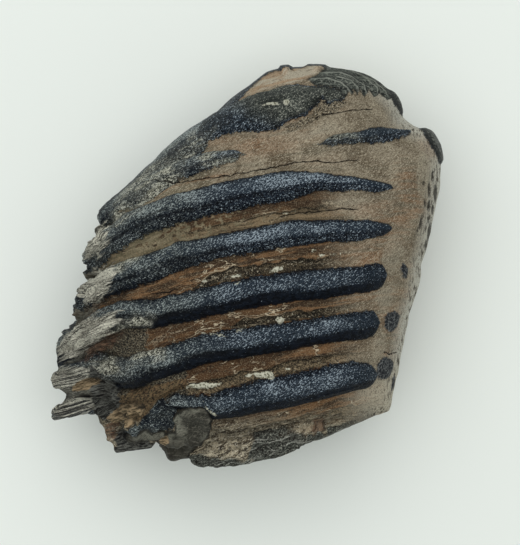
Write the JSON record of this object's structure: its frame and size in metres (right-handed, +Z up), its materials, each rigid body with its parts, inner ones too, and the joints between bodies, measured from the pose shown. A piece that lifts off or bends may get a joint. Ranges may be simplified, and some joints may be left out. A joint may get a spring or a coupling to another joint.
{
  "type": "fossil molar",
  "caption": "Broken fossil mammoth molar lying on its side: dark enamel plates standing as ridges out of brown cement, with a splintered root side.",
  "frame": {"origin": "under the middle of the tooth's outline, on the plane it rests on", "axes": "+Z up out of the rest plane, +X towards the chewing side, +Y towards the front plate of the tooth"},
  "size_m": [0.1516, 0.1553, 0.0874],
  "materials": {
    "fossil_tooth": "dull mineralised cement with semi-gloss dark enamel ridges"
  },
  "bodies": {
    "root": {"molar": "fossil_tooth"}
  },
  "joints": []
}
